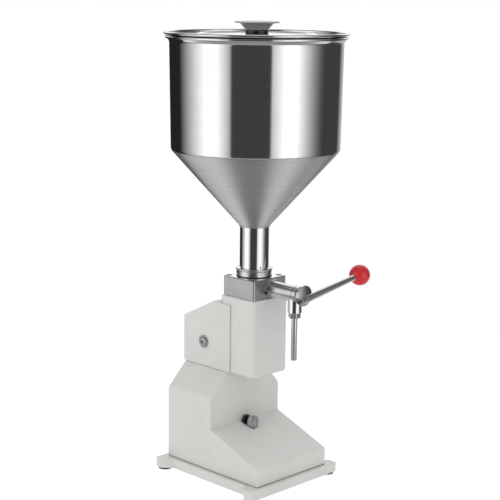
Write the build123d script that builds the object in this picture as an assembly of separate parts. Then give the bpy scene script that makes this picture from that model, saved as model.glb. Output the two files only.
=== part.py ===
from build123d import *
import math
import os

# Bench-top piston liquid filler, in millimetres. +Z is up, the front of the machine faces -Y,
# and the origin is the centre of the four foot holes on the table plane.

# ---------------------------------------------------------------- overall places
mast_y = -15.0                # axis of hopper, cylinder and piston
pad_thickness = 2.4
plate_thickness = 16.6
housing_top_z = 182.0
column_height = 130.2
gasket_thickness = 0.8
block_height = 33.5
spindle_height = 17.0         # of the valve spindle, lever hub and discharge tube above the block's underside
running_gap = 0.05            # radial clearance of a shaft in its bearing
slip_gap = 0.5                # clearance between bodies that pass each other

# ---------------------------------------------------------------- base
plate_half_x = 90.0
plate_half_y = 116.5
ear_half_x = 104.0
ear_shoulder_y = 100.0
ear_corner_radius = 4.0
plate_edge_radius = 1.5
base_gasket_thickness = 1.2
base_gasket_inset = 0.3       # the gasket stands back from the housing's outline
base_gasket_band = 14.0
foot_hole_x = 92.0
foot_hole_y = 104.5
foot_hole_radius = 4.5
foot_hole_roof = 4.0          # metal left above the blind foot holes
pad_radius = 11.5

# ---------------------------------------------------------------- lower housing
housing_half_x = 82.7
housing_front_y = -109.0
housing_rear_y = 108.5
housing_face_y = 3.0          # upright front face above the ramp
lip_z = 49.0
ramp_top_z = 91.0
shoulder_drop = 40.0          # the side walls lean in at 45 degrees over this height
shoulder_radius = 18.0
housing_wall = 3.0
housing_edge_radius = 3.0
boss_x = 73.0
boss_y = 99.0
boss_radius = 8.0
boss_height = 22.0
arm_window_half_x = 20.0      # opening in the housing top for the rocker's lower arm
arm_window_front_y = 34.0
arm_window_rear_y = 98.0
lug_inner_x = 22.0
lug_outer_x = 38.0
lug_height = 20.0
lug_thickness = 3.0

# ---------------------------------------------------------------- column
column_half_x = 41.0
column_front_y = -55.0
column_rear_y = 23.0
column_edge_radius = 7.0
column_floor = 8.0
chamber_half_x = 30.0
chamber_front_y = -46.0
chamber_rear_y = 15.0
arm_slot_half_x = 9.0
arm_slot_rise = 20.0          # above the housing's top
column_screw_x = 30.0
column_screw_y = 13.0

# ---------------------------------------------------------------- cylinder and piston
liner_wall = 5.0
bore_radius = 23.0
liner_length = 61.2
seal_recess = 1.0
liner_seal_inset = 1.0
liner_seal_width = 2.5
piston_length = 26.0
piston_head_gap = 2.2         # between the piston and the block at full delivery
piston_groove_depth = 3.0
piston_seal_width = 3.0
piston_seal_spacing = 12.0
piston_rod_radius = 7.0

# ---------------------------------------------------------------- valve block
block_half_x = 38.6
block_front_y = -52.4
block_rear_y = 19.0
block_corner_radius = 4.0     # of the block's upright edges
block_edge = 1.0
hopper_port_radius = 10.0
block_screw_x = 30.5
block_screw_offset_y = 27.5
block_screw_reach = 14.0

# ---------------------------------------------------------------- discharge tube and nozzle
tube_wall = 5.5
tube_front_y = -120.0
tube_thread_wall = 3.5
tube_thread_length = 10.4
tube_washer_lip = 2.0
tube_washer_thickness = 1.5
tube_nut_wall = 3.0
tube_nut_length = 6.5
collar_screw_angle = 200.0    # round the tube from +X, so the screw faces left and a little down
groove_depth = 0.5
groove_width = 1.2
groove_back = 8.0             # of the front groove behind the tube's end
groove_spacing = 48.0
nozzle_back = 11.6            # of the nozzle behind the tube's end
nipple_radius = 11.4
nipple_drop = 32.0            # below the spindle's axis
nipple_chamfer = 1.5
spigot_radius = 8.0
spigot_length = 4.0
outlet_radius = 4.0
nozzle_nut_corner = 10.6
nozzle_nut_floor = 2.0
nozzle_nut_hole = 6.4         # lets a hose run up past the nut to the nozzle's collar
nozzle_radius = 5.2
nozzle_bore = 4.0
nozzle_length = 75.0
nozzle_collar_radius = 7.4
nozzle_collar_thickness = 1.5

# ---------------------------------------------------------------- spindle, hub and lever
spindle_radius = 8.0
spindle_nose = 3.6            # of the spindle beyond the tube's end
spindle_channel_radius = 4.5
spindle_port_radius = 4.0
seal_margin = 3.2             # of the front seal behind the tube's end
port_seal_offset = 11.4       # of the seal behind the outlet
block_seal_places = (12.0, -32.0)
seal_width = 1.8
seal_depth = 1.3
gland_wall = 5.0
gland_thickness = 2.5
hub_gap = 0.4
hub_length = 9.6
hub_crown = 1.8               # the front face swells this far in the middle
hub_flare_length = 6.1
hub_neck_step = 0.3
hub_lip = 3.5
lever_proud = 0.5             # of the lever's axis before the hub's face
lever_drop = 6.0              # how far below the spindle the lever crosses the hub
lever_angle = 8.84            # rise of the lever above level, in degrees
lever_root_length = 8.0
lever_root_radius = 6.5
lever_parallel = 8.0
lever_tip_radius = 4.8
lever_thread_radius = 4.0
lever_thread_length = 12.0
ball_radius = 17.5
ball_reach = 136.6
ball_flat = 16.3
lever_swing = 90.0

# ---------------------------------------------------------------- crank, link and rocker
half_swing = 12.0             # the rocker swings this far each side of level, in degrees
link_plane_x = 8.6
crank_disc_thickness = 5.0
crank_rim = 2.0
crank_pin_radius = 3.0
crank_gap = 1.5
pin_slack = 0.6               # room round a pin in its slot, above and below
slot_reserve = 0.5            # room past the pin's travel at each end of a slot
eye_wall = 4.0
eye_thickness = 6.0
link_rod_radius = 4.0
link_plate_half_y = 7.0
link_plate_low = 8.0
link_plate_high = 14.0
guide_bush_radius = 5.8
guide_bush_below = 9.0
guide_bush_above = 3.0
pivot_y = 60.0
pivot_height = 43.0           # above the housing's top
pivot_radius = 6.0
rocker_thickness = 8.0
rocker_hub_radius = 15.0
rocker_rib = 5.0              # metal left round a slot at the rocker's tip
bush_radius = 9.0
bush_length = 9.0
stop_above_screw = 4.5        # from the adjusting screw's axis to the end of the rocker's lower arm
lower_arm_half_width = 8.0
stop_pad_radius = 8.0
stop_pad_thickness = 5.0
clevis_pin_radius = 4.0
clevis_half_x = 10.5
clevis_half_y = 8.0
clevis_drop = 8.0
clevis_crotch = 13.0
clevis_head = 6.0
clip_thickness = 1.2
clip_radius = 6.0
bracket_inner_x = 20.0
bracket_thickness = 5.0
bracket_half_y = 16.0
bracket_foot = 12.0
bracket_head = 16.0

# ---------------------------------------------------------------- rear cover and pivot bolt
cover_overlap = 2.5           # how far each side wall stands outside the column's flank
cover_wall = 2.0
cover_front_y = -2.0
cover_rear_y = 110.0
cover_drop = 13.2             # below the column's top
cover_fold_y = 38.5
cover_fall = 36.0             # of the sloping top, from fold to rear
cover_seam = 0.8
cover_fit = 0.3
cover_edge_radius = 1.5
washer_radius = 11.0
washer_thickness = 1.5
bolt_head_radius = 8.4
bolt_head_height = 3.6
bolt_crown_radius = 2.6       # rounding of the head's outer edge
bolt_socket_radius = 3.0
bolt_socket_depth = 2.4
nut_corner = 10.4
nut_height = 10.0
cover_screw_x = 30.0
cover_screw_rise = 11.0       # above the housing's top

# ---------------------------------------------------------------- adjusting screw
screw_rise = 0.5              # above the top of the ramp
screw_radius = 5.0
screw_front_y = -16.0
screw_tip_gap = 0.6           # between the screw's tip and the stop pad at full swing
adjust_knob_radius = 11.0
adjust_knob_front_y = -20.0
adjust_knob_rear_y = -13.0
lock_nut_corner = 8.6
lock_nut_length = 6.0
insert_radius = 9.0
insert_length = 10.0
relief_radius = 13.0
relief_front_y = -25.0

# ---------------------------------------------------------------- hopper
neck_radius = 24.2
neck_wall = 1.5
neck_floor = 3.0
neck_length = 80.0
cone_height = 126.0
cone_lap = 1.3                # how far the cone's foot stands outside the neck
barrel_height = 173.5
barrel_low_radius = 138.5
barrel_high_radius = 141.0
barrel_corner_radius = 10.0
hopper_wall = 1.2
flare_reach = 4.0             # the barrel's lip turns outward by this much
flare_height = 5.5
rim_wire_radius = 2.6
rim_rise = 7.5                # centre of the rolled wire above the start of the flare
neck_gasket_lip = 0.3         # the gasket and ring stand outside the collar
neck_gasket_height = 1.5
collar_wall = 5.1
collar_height = 8.0
neck_ring_lip = 1.1
neck_ring_height = 4.0
neck_ring_edge = 1.4

# ---------------------------------------------------------------- lid
lid_reach = 5.0               # of the lid's edge outside the rim wire's circle
lid_sheet = 1.0
lid_seat_width = 2.8          # rib under the lid that rests on the rolled rim
lid_seat_gap = 0.05
lid_edge_rise = 3.0           # above the rim wire's centre
lid_edge_height = 4.6
lid_dish_drop = 2.6           # below the lid's edge
lid_rise_reach = 10.0         # width of the raised edge
lid_crown_radius = 94.0
lid_crown_rise = 2.0
knob_base_radius = 19.0
knob_base_height = 4.6
knob_body_radius = 26.0
knob_body_height = 11.0
knob_flange_radius = 36.4
knob_flange_height = 2.6

# ---------------------------------------------------------------- screws
m5_radius = 2.5
m5_head_radius = 4.6
m5_head_height = 3.0
m6_radius = 3.0
m6_head_radius = 5.0
m6_head_height = 6.0
socket_share = 0.55           # a socket's corner radius, as a share of its screw head
socket_depth_share = 0.5
counterbore_radius = 5.6

# ---------------------------------------------------------------- worked out from the sizes above
plate_low_z = pad_thickness
plate_top_z = plate_low_z + plate_thickness
housing_low_z = plate_top_z + base_gasket_thickness
shoulder_z = housing_top_z - shoulder_drop
screw_z = ramp_top_z + screw_rise
column_top_z = housing_top_z + column_height
block_low_z = column_top_z + gasket_thickness
block_top_z = block_low_z + block_height
spindle_z = block_low_z + spindle_height
liner_low_z = column_top_z - liner_length
liner_radius = bore_radius + liner_wall
liner_seal_inner = bore_radius + liner_seal_inset
liner_seal_outer = liner_seal_inner + liner_seal_width
arm_slot_low_z = housing_top_z + arm_slot_rise
cover_half_x = column_half_x + cover_overlap
cover_top_z = column_top_z - cover_drop
cover_low_rear_z = cover_top_z - cover_fall
cover_screw_z = housing_top_z + cover_screw_rise
guide_bush_low_z = cover_top_z - guide_bush_below
guide_bush_high_z = cover_top_z + guide_bush_above
bearing_radius = spindle_radius + running_gap
tube_radius = spindle_radius + tube_wall
tube_thread_radius = spindle_radius + tube_thread_wall
tube_washer_radius = tube_radius + tube_washer_lip
tube_nut_corner = tube_radius + tube_nut_wall
gland_radius = spindle_radius + gland_wall
groove_places = (tube_front_y + groove_back, tube_front_y + groove_back + groove_spacing)
nozzle_y = tube_front_y + nozzle_back
nipple_low_z = spindle_z - nipple_drop
nozzle_low_z = nipple_low_z - spigot_length - nozzle_length
spindle_front_y = tube_front_y - spindle_nose
seal_places = (*block_seal_places, nozzle_y + port_seal_offset, tube_front_y + seal_margin)
hub_neck_radius = tube_radius - hub_neck_step
hub_radius = tube_radius + hub_lip
hub_rear_y = tube_front_y - hub_gap
hub_front_y = hub_rear_y - hub_length
hub_flare_y = hub_rear_y - hub_flare_length
lever_y = hub_front_y - lever_proud
lever_root_z = spindle_z - lever_drop
crank_disc_y = block_rear_y + gland_thickness + 1.0
crank_rear_y = crank_disc_y + crank_disc_thickness
eye_y = crank_rear_y + crank_gap
link_y = eye_y + eye_thickness / 2
pivot_z = housing_top_z + pivot_height
lower_arm_length = pivot_z - screw_z - stop_above_screw
swing_rise = math.tan(math.radians(half_swing))
link_arm = pivot_y - link_y
piston_arm = pivot_y - mast_y
link_travel = 2 * link_arm * swing_rise
piston_stroke = 2 * piston_arm * swing_rise
crank_radius = link_travel / math.sqrt(2)
crank_disc_radius = crank_radius + crank_pin_radius + crank_rim
slot_x = (crank_radius + crank_radius / math.sqrt(2)) / 2
slot_half_x = (crank_radius - crank_radius / math.sqrt(2)) / 2 + crank_pin_radius + slot_reserve
slot_half_z = crank_pin_radius + pin_slack
piston_high_z = block_low_z - piston_head_gap - piston_stroke
piston_low_z = piston_high_z - piston_length
piston_pin_z = pivot_z - piston_stroke / 2
link_pin_z = pivot_z - link_travel / 2
crank_pin_x = crank_radius / math.sqrt(2)
crank_pin_z = spindle_z - crank_radius / math.sqrt(2)
collar_radius = neck_radius + collar_wall
neck_gasket_radius = collar_radius + neck_gasket_lip
neck_ring_radius = collar_radius + neck_ring_lip
neck_gasket_top_z = block_top_z + neck_gasket_height
collar_top_z = neck_gasket_top_z + collar_height
neck_low_z = neck_gasket_top_z + neck_floor
cone_low_z = neck_low_z + neck_length
cone_low_radius = neck_radius + cone_lap
cone_high_z = cone_low_z + cone_height
flare_z = cone_high_z + barrel_height
rim_z = flare_z + rim_rise
rim_radius = barrel_high_radius + flare_reach
lid_radius = rim_radius + lid_reach
lid_edge_low_z = rim_z + lid_edge_rise
lid_edge_high_z = lid_edge_low_z + lid_edge_height
lid_dish_z = lid_edge_high_z - lid_dish_drop
lid_dish_radius = lid_radius - lid_rise_reach
lid_crown_z = lid_dish_z + lid_crown_rise


def rod(axis, radius, low, high, across=(0.0, 0.0)):
    """A round bar along an axis; across holds its other two coordinates in x, y, z order."""
    middle = (low + high) / 2
    bar = Cylinder(radius, high - low)
    if axis == "X":
        return Pos(middle, across[0], across[1]) * Rot(0, 90, 0) * bar
    if axis == "Y":
        return Pos(across[0], middle, across[1]) * Rot(90, 0, 0) * bar
    return Pos(across[0], across[1], middle) * bar


def ring(axis, outer, inner, low, high, across=(0.0, 0.0)):
    """A round bar with a hole through it."""
    return rod(axis, outer, low, high, across) - rod(axis, inner, low - 1, high + 1, across)


def slab(x_span, y_span, z_span):
    """A rectangular block between three pairs of limits."""
    size = [high - low for low, high in (x_span, y_span, z_span)]
    centre = [(high + low) / 2 for low, high in (x_span, y_span, z_span)]
    return Pos(*centre) * Box(*size)


def side_profile(points, half_width):
    """A closed outline in the Y-Z plane, extruded to both sides of the middle plane."""
    return extrude(Plane.YZ * make_face(Polyline(*points, close=True)), half_width, both=True)


def front_profile(face, low_y, high_y):
    """A face drawn in the X-Z plane, extruded from one depth to another."""
    return extrude(Plane.XZ.offset(-high_y) * face, high_y - low_y)


def hexagon(axis, corner, low, high, across=(0.0, 0.0)):
    """A hexagonal bar along an axis, sized across its corners."""
    bar = extrude(RegularPolygon(corner, 6), (high - low) / 2, both=True)
    middle = (low + high) / 2
    if axis == "X":
        return Pos(middle, across[0], across[1]) * Rot(0, 90, 0) * bar
    if axis == "Y":
        return Pos(across[0], middle, across[1]) * Rot(90, 0, 0) * bar
    return Pos(across[0], across[1], middle) * bar


def turned(points, x=0.0, y=0.0):
    """A solid of revolution about a vertical axis from (radius, height) points."""
    return Pos(x, y, 0) * revolve(Plane.XZ * make_face(Polyline(*points, close=True)), Axis.Z)


def cap_screw(radius, head_radius, head_height, shank):
    """A socket head screw standing on Z = 0 with its head above and its shank below."""
    head = rod("Z", head_radius, 0, head_height)
    floor = head_height * (1 - socket_depth_share)
    socket = hexagon("Z", head_radius * socket_share, floor, head_height + 1)
    return head + rod("Z", radius, -shank, 0.5) - socket


def corners(half_x, half_y, centre_y=0.0):
    """The four corner points of a rectangle."""
    return [(sx * half_x, centre_y + sy * half_y) for sx in (-1, 1) for sy in (-1, 1)]


# ---------------------------------------------------------------- base pieces
def rubber_pads():
    return [ring("Z", pad_radius, foot_hole_radius, 0, pad_thickness, place)
            for place in corners(foot_hole_x, foot_hole_y)]


def base_plate():
    flank = ear_half_x - plate_half_x
    rear = [(plate_half_x, ear_shoulder_y - flank), (ear_half_x, ear_shoulder_y), (ear_half_x, plate_half_y)]
    right = [(x, -y) for x, y in reversed(rear)] + rear
    left = [(-x, y) for x, y in reversed(right)]
    outline = make_face(Polyline(*right, *left, close=True))
    plate = Pos(0, 0, plate_low_z) * extrude(outline, plate_thickness)
    ends = [edge for edge in plate.edges().filter_by(Axis.Z)
            if abs(edge.center().X) > ear_half_x - 0.1 and abs(edge.center().Y) > plate_half_y - 0.1]
    plate = fillet(ends, ear_corner_radius)
    for level in (0, -1):
        plate = fillet(plate.edges().group_by(Axis.Z)[level], plate_edge_radius)
    for place in corners(foot_hole_x, foot_hole_y):
        plate -= rod("Z", foot_hole_radius, plate_low_z - 1, plate_top_z - foot_hole_roof, place)
    for place in corners(boss_x, boss_y):
        plate -= rod("Z", m6_radius, plate_low_z - 1, plate_top_z + 1, place)
        plate -= rod("Z", counterbore_radius, plate_low_z - 1, plate_low_z + m6_head_height + 1, place)
    return plate


def housing_screws():
    screw = Rot(180, 0, 0) * cap_screw(m6_radius, m6_head_radius, m6_head_height, plate_thickness)
    seat = plate_low_z + m6_head_height + 1
    return [Pos(x, y, seat) * screw for x, y in corners(boss_x, boss_y)]


def base_gasket():
    middle_y = (housing_front_y + housing_rear_y) / 2
    half_y = (housing_rear_y - housing_front_y) / 2 - base_gasket_inset
    half_x = housing_half_x - base_gasket_inset
    span = (plate_top_z, housing_low_z)
    sheet = slab((-half_x, half_x), (middle_y - half_y, middle_y + half_y), span)
    sheet = fillet(sheet.edges().filter_by(Axis.Z), housing_edge_radius)
    inner_x = half_x - base_gasket_band
    inner_y = half_y - base_gasket_band
    sheet -= slab((-inner_x, inner_x), (middle_y - inner_y, middle_y + inner_y), (plate_top_z - 1, housing_low_z + 1))
    for place in corners(boss_x, boss_y):
        sheet -= rod("Z", m6_radius, plate_top_z - 1, housing_low_z + 1, place)
    return sheet


def housing_block(inset, low_z):
    """The housing's outer form, taken in by a wall, standing on low_z."""
    slope = (ramp_top_z - lip_z) / (housing_face_y - housing_front_y)
    drop = inset * math.sqrt(1 + slope ** 2)
    front = housing_front_y + inset
    face = housing_face_y + inset
    top = housing_top_z - inset
    side = [(front, low_z), (front, lip_z + slope * inset - drop), (face, ramp_top_z + slope * inset - drop),
            (face, top), (housing_rear_y - inset, top), (housing_rear_y - inset, low_z)]
    half = housing_half_x - inset
    corner_z = shoulder_z - inset * (math.sqrt(2) - 1)
    narrow = half - (top - corner_z)
    outline = [(-half, low_z), (half, low_z), (half, corner_z), (narrow, top), (-narrow, top), (-half, corner_z)]
    arch = make_face(Polyline(*outline, close=True))
    arch = fillet([bend for bend in arch.vertices() if abs(bend.Y - corner_z) < 0.1], shoulder_radius - inset)
    return side_profile(side, housing_half_x) & front_profile(arch, housing_front_y, housing_rear_y)


def level_at(edge, z):
    """Whether an edge runs level at this height."""
    span = edge.bounding_box()
    return abs(span.min.Z - z) < 0.1 and abs(span.max.Z - z) < 0.1


def lower_housing():
    outer = housing_block(0, housing_low_z)
    sharp = [edge for edge in outer.edges() if level_at(edge, housing_low_z) or level_at(edge, ramp_top_z)]
    outer = fillet([edge for edge in outer.edges() if edge not in sharp], housing_edge_radius)
    relief_outer = rod("Y", relief_radius + housing_wall, relief_front_y - housing_wall,
                       housing_face_y + housing_wall, (0, screw_z)) & outer
    shell = outer - housing_block(housing_wall, housing_low_z - 1)
    shell += relief_outer
    shell -= rod("Y", relief_radius, relief_front_y, housing_face_y, (0, screw_z))
    shell -= rod("Y", screw_radius + slip_gap, housing_face_y - 1, housing_face_y + housing_wall + 1, (0, screw_z))
    for place in corners(boss_x, boss_y):
        boss = rod("Z", boss_radius, housing_low_z, housing_low_z + boss_height, place) & outer
        shell += boss
        shell -= rod("Z", m6_radius, housing_low_z - 1, housing_low_z + boss_height - 3, place)
    shell -= slab((-arm_window_half_x, arm_window_half_x), (arm_window_front_y, arm_window_rear_y),
                  (housing_top_z - housing_wall - 1, housing_top_z + 1))
    for side in (-1, 1):
        lug_y = cover_rear_y - cover_wall - cover_fit
        span = sorted((side * lug_inner_x, side * lug_outer_x))
        shell += slab(span, (lug_y - lug_thickness, lug_y), (housing_top_z - housing_wall, housing_top_z + lug_height))
        shell -= rod("Y", m5_radius, lug_y - lug_thickness - 1, lug_y + 1, (side * cover_screw_x, cover_screw_z))
    for x, y in frame_screw_places():
        shell -= rod("Z", m6_radius, housing_top_z - housing_wall - 1, housing_top_z + 1, (x, y))
    return shell


def frame_screw_places():
    """Where the column and the rocker brackets are bolted to the housing top."""
    column = [(side * column_screw_x, column_screw_y) for side in (-1, 1)]
    foot_x = bracket_inner_x + bracket_thickness + bracket_foot / 2 - 1
    bracket = [(side * foot_x, pivot_y + end * bracket_half_y / 2) for side in (-1, 1) for end in (-1, 1)]
    return column + bracket


def frame_screws():
    screw = Rot(180, 0, 0) * cap_screw(m6_radius, m6_head_radius, m6_head_height, housing_wall + 4)
    return [Pos(x, y, housing_top_z - housing_wall) * screw for x, y in frame_screw_places()]


# ---------------------------------------------------------------- column, cylinder and valve block
def column_casting():
    body = slab((-column_half_x, column_half_x), (column_front_y, column_rear_y), (housing_top_z, column_top_z))
    body = fillet(body.edges().filter_by(Axis.Z), column_edge_radius)
    low_front = [edge for edge in body.edges().group_by(Axis.Z)[0] if edge.center().Y < housing_face_y - 1]
    body = fillet(low_front, column_edge_radius / 2)
    chamber_floor = housing_top_z + column_floor
    body -= slab((-chamber_half_x, chamber_half_x), (chamber_front_y, chamber_rear_y), (chamber_floor, liner_low_z))
    body -= rod("Z", liner_radius, liner_low_z - 1, column_top_z + 1, (0, mast_y))
    body -= slab((-arm_slot_half_x, arm_slot_half_x), (chamber_rear_y - 1, column_rear_y + 1),
                 (arm_slot_low_z, liner_low_z))
    for x, y in corners(block_screw_x, block_screw_offset_y, mast_y):
        body -= rod("Z", m6_radius, column_top_z - block_screw_reach, column_top_z + 1, (x, y))
    for side in (-1, 1):
        body -= rod("Z", m6_radius, housing_top_z - 1, housing_top_z + 5, (side * column_screw_x, column_screw_y))
    return body


def cylinder_liner():
    liner = ring("Z", liner_radius, bore_radius, liner_low_z, column_top_z, (0, mast_y))
    return liner - ring("Z", liner_seal_outer, liner_seal_inner, column_top_z - seal_recess,
                        column_top_z + 1, (0, mast_y))


def liner_seal():
    return ring("Z", liner_seal_outer, liner_seal_inner, column_top_z - seal_recess, block_low_z, (0, mast_y))


def block_gasket():
    sheet = slab((-block_half_x, block_half_x), (block_front_y, block_rear_y), (column_top_z, block_low_z))
    sheet = fillet(sheet.edges().filter_by(Axis.Z), block_corner_radius)
    sheet -= rod("Z", liner_radius, column_top_z - 1, block_low_z + 1, (0, mast_y))
    for x, y in corners(block_screw_x, block_screw_offset_y, mast_y):
        sheet -= rod("Z", m6_radius, column_top_z - 1, block_low_z + 1, (x, y))
    return sheet


def valve_block():
    body = slab((-block_half_x, block_half_x), (block_front_y, block_rear_y), (block_low_z, block_top_z))
    body = fillet(body.edges().filter_by(Axis.Z), block_corner_radius)
    for level in (0, -1):
        body = chamfer(body.edges().group_by(Axis.Z)[level], block_edge)
    body -= rod("Y", bearing_radius, block_front_y - 1, block_rear_y + 1, (0, spindle_z))
    body -= rod("Y", tube_thread_radius, block_front_y - 1, block_front_y + tube_thread_length, (0, spindle_z))
    body -= rod("Z", hopper_port_radius, spindle_z, block_top_z + 1, (0, mast_y))
    body -= rod("Z", spindle_port_radius, block_low_z - 1, spindle_z, (0, mast_y))
    for x, y in corners(block_screw_x, block_screw_offset_y, mast_y):
        body -= rod("Z", m6_radius, block_low_z - 1, block_top_z + 1, (x, y))
        body -= rod("Z", counterbore_radius, block_top_z - m6_head_height - 1, block_top_z + 1, (x, y))
    return body


def block_screws():
    screw = cap_screw(m6_radius, m6_head_radius, m6_head_height, block_height + gasket_thickness + 6)
    seat = block_top_z - m6_head_height - 1
    return [Pos(x, y, seat) * screw for x, y in corners(block_screw_x, block_screw_offset_y, mast_y)]


def rear_gland():
    return ring("Y", gland_radius, bearing_radius, block_rear_y, block_rear_y + gland_thickness, (0, spindle_z))


# ---------------------------------------------------------------- discharge tube and nozzle
def discharge_tube():
    tube = rod("Y", tube_radius, tube_front_y, block_front_y - tube_washer_thickness, (0, spindle_z))
    tube += rod("Y", tube_thread_radius, block_front_y - tube_washer_thickness - 1,
                block_front_y + tube_thread_length, (0, spindle_z))
    tube -= rod("Y", bearing_radius, tube_front_y - 1, block_rear_y, (0, spindle_z))
    for place in groove_places:
        tube -= ring("Y", tube_radius + 1, tube_radius - groove_depth, place - groove_width / 2,
                     place + groove_width / 2, (0, spindle_z))
    return tube - rod("Z", outlet_radius, spindle_z - tube_radius - 1, spindle_z, (0, nozzle_y))


def tube_washer():
    return ring("Y", tube_washer_radius, tube_thread_radius, block_front_y - tube_washer_thickness,
                block_front_y, (0, spindle_z))


def tube_lock_nut():
    front = block_front_y - tube_washer_thickness - tube_nut_length
    rear = block_front_y - tube_washer_thickness
    nut = hexagon("Y", tube_nut_corner, front, rear, (0, spindle_z))
    nut &= rod("Y", tube_nut_corner - 0.5, front, rear, (0, spindle_z))
    nut -= rod("Y", tube_radius, front - 1, rear + 1, (0, spindle_z))
    return nut - on_collar(rod("X", m5_radius, 0, tube_nut_corner + 1))


def on_collar(shape):
    """Places a piece drawn along +X onto the lock nut's set screw hole."""
    middle = block_front_y - tube_washer_thickness - tube_nut_length / 2
    return Pos(0, middle, spindle_z) * Rot(0, -collar_screw_angle, 0) * shape


def collar_set_screw():
    screw = rod("X", m5_radius, tube_radius + 0.02, tube_nut_corner)
    return on_collar(screw - hexagon("X", m5_radius * 0.6, tube_nut_corner - 1.5, tube_nut_corner + 1))


def outlet_nipple():
    body = rod("Z", nipple_radius, nipple_low_z, spindle_z, (0, nozzle_y))
    body = chamfer(body.edges().group_by(Axis.Z)[0], nipple_chamfer)
    body += rod("Z", spigot_radius, nipple_low_z - spigot_length, nipple_low_z + 1, (0, nozzle_y))
    body -= rod("Y", tube_radius, nozzle_y - nipple_radius - 1, nozzle_y + nipple_radius + 1, (0, spindle_z))
    lump = body - rod("Z", outlet_radius, nipple_low_z - spigot_length - 1, spindle_z, (0, nozzle_y))
    return lump.solids().sort_by(Axis.Z)[0]


def nozzle_tube():
    collar_top = nipple_low_z - spigot_length
    tube = ring("Z", nozzle_radius, nozzle_bore, nozzle_low_z, collar_top, (0, nozzle_y))
    return tube + ring("Z", nozzle_collar_radius, nozzle_bore, collar_top - nozzle_collar_thickness,
                       collar_top, (0, nozzle_y))


def nozzle_nut():
    floor_top = nipple_low_z - spigot_length - nozzle_collar_thickness
    low = floor_top - nozzle_nut_floor
    nut = hexagon("Z", nozzle_nut_corner, low, nipple_low_z, (0, nozzle_y))
    nut &= rod("Z", nozzle_nut_corner - 0.4, low, nipple_low_z, (0, nozzle_y))
    nut -= rod("Z", spigot_radius, floor_top, nipple_low_z + 1, (0, nozzle_y))
    return nut - rod("Z", nozzle_nut_hole, low - 1, nipple_low_z, (0, nozzle_y))


# ---------------------------------------------------------------- spindle, hub and lever
def valve_spindle():
    spindle = rod("Y", spindle_radius, spindle_front_y, crank_rear_y, (0, spindle_z))
    channel_end = mast_y - spindle_port_radius
    spindle -= rod("Y", spindle_channel_radius, spindle_front_y + 3, -channel_end + 2 * mast_y, (0, spindle_z))
    spindle -= rod("Z", spindle_port_radius, spindle_z - spindle_radius - 1, spindle_z + spindle_radius + 1,
                   (0, mast_y))
    for y in (mast_y, nozzle_y):
        spindle -= rod("X", spindle_port_radius, -spindle_radius - 1, 0, (y, spindle_z))
    for y in seal_places:
        spindle -= ring("Y", spindle_radius + 1, spindle_radius - seal_depth, y - seal_width / 2,
                        y + seal_width / 2, (0, spindle_z))
    return spindle


def spindle_seals():
    return [ring("Y", spindle_radius + running_gap / 2, spindle_radius - seal_depth, y - seal_width / 2,
                 y + seal_width / 2, (0, spindle_z)) for y in seal_places]


def lever_bar():
    """The lever along +X from the hub's centre line, before it is raised to its angle."""
    neck = ball_reach - ball_flat
    points = [(-lever_root_length, 0), (-lever_root_length, lever_root_radius - 1),
              (1 - lever_root_length, lever_root_radius), (lever_parallel, lever_root_radius),
              (neck, lever_tip_radius), (neck, lever_thread_radius),
              (neck + lever_thread_length, lever_thread_radius), (neck + lever_thread_length, 0)]
    return revolve(make_face(Polyline(*points, close=True)), Axis.X)


def on_lever(shape):
    """Places a piece drawn along +X onto the lever's own axis."""
    return Pos(0, lever_y, lever_root_z) * Rot(0, -lever_angle, 0) * shape


def lever_hub():
    crown_y = hub_front_y - hub_crown
    points = [(0, hub_rear_y), (hub_neck_radius, hub_rear_y), (hub_radius, hub_flare_y), (hub_radius, crown_y),
              (0, crown_y)]
    hub = Pos(0, 0, spindle_z) * revolve(make_face(Polyline(*points, close=True)), Axis.Y)
    swell = (hub_radius ** 2 + hub_crown ** 2) / (2 * hub_crown)
    hub &= Pos(0, crown_y + swell, spindle_z) * Sphere(swell)
    hub -= rod("Y", spindle_radius, spindle_front_y, hub_rear_y + 1, (0, spindle_z))
    return hub - on_lever(rod("X", lever_root_radius, -hub_radius * 2, hub_radius * 2))


def lever_arm():
    socket = hexagon("X", lever_screw_radius(), -lever_root_length - 1, 2 - lever_root_length)
    return on_lever(lever_bar() - rod("X", lever_screw_radius(), -lever_root_length - 1, 4) - socket)


def lever_screw_radius():
    return lever_root_radius / 2


def lever_screw():
    body = rod("X", lever_screw_radius(), 1 - lever_root_length, 4)
    return on_lever(body - hexagon("X", lever_screw_radius() * 0.6, -lever_root_length, 4 - lever_root_length))


def ball_knob():
    ball = Pos(ball_reach, 0, 0) * Sphere(ball_radius)
    neck = ball_reach - ball_flat
    ball -= slab((neck - ball_radius, neck), (-ball_radius, ball_radius), (-ball_radius, ball_radius))
    return on_lever(ball - rod("X", lever_thread_radius, neck - 1, neck + lever_thread_length))


# ---------------------------------------------------------------- crank and link
def crank_disc():
    disc = rod("Y", crank_disc_radius, crank_disc_y, crank_rear_y, (0, spindle_z))
    disc -= rod("Y", spindle_radius, crank_disc_y - 1, crank_rear_y + 1, (0, spindle_z))
    disc -= rod("Y", crank_pin_radius, crank_disc_y - 1, crank_rear_y + 1, (crank_pin_x, crank_pin_z))
    return disc - rod("X", m5_radius / 2, -crank_disc_radius - 1, 0, ((crank_disc_y + crank_rear_y) / 2, spindle_z))


def crank_set_screw():
    middle = (crank_disc_y + crank_rear_y) / 2
    return rod("X", m5_radius / 2, 0.6 - crank_disc_radius, -spindle_radius - 0.02, (middle, spindle_z))


def crank_pin():
    shank = rod("Y", crank_pin_radius, crank_disc_y, eye_y + eye_thickness + 1, (crank_pin_x, crank_pin_z))
    shank -= rod("Y", spindle_radius, crank_disc_y - 1, crank_rear_y, (0, spindle_z))
    head_y = eye_y + eye_thickness + 0.6
    return shank + rod("Y", crank_pin_radius + 1.2, head_y, head_y + 2, (crank_pin_x, crank_pin_z))


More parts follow.
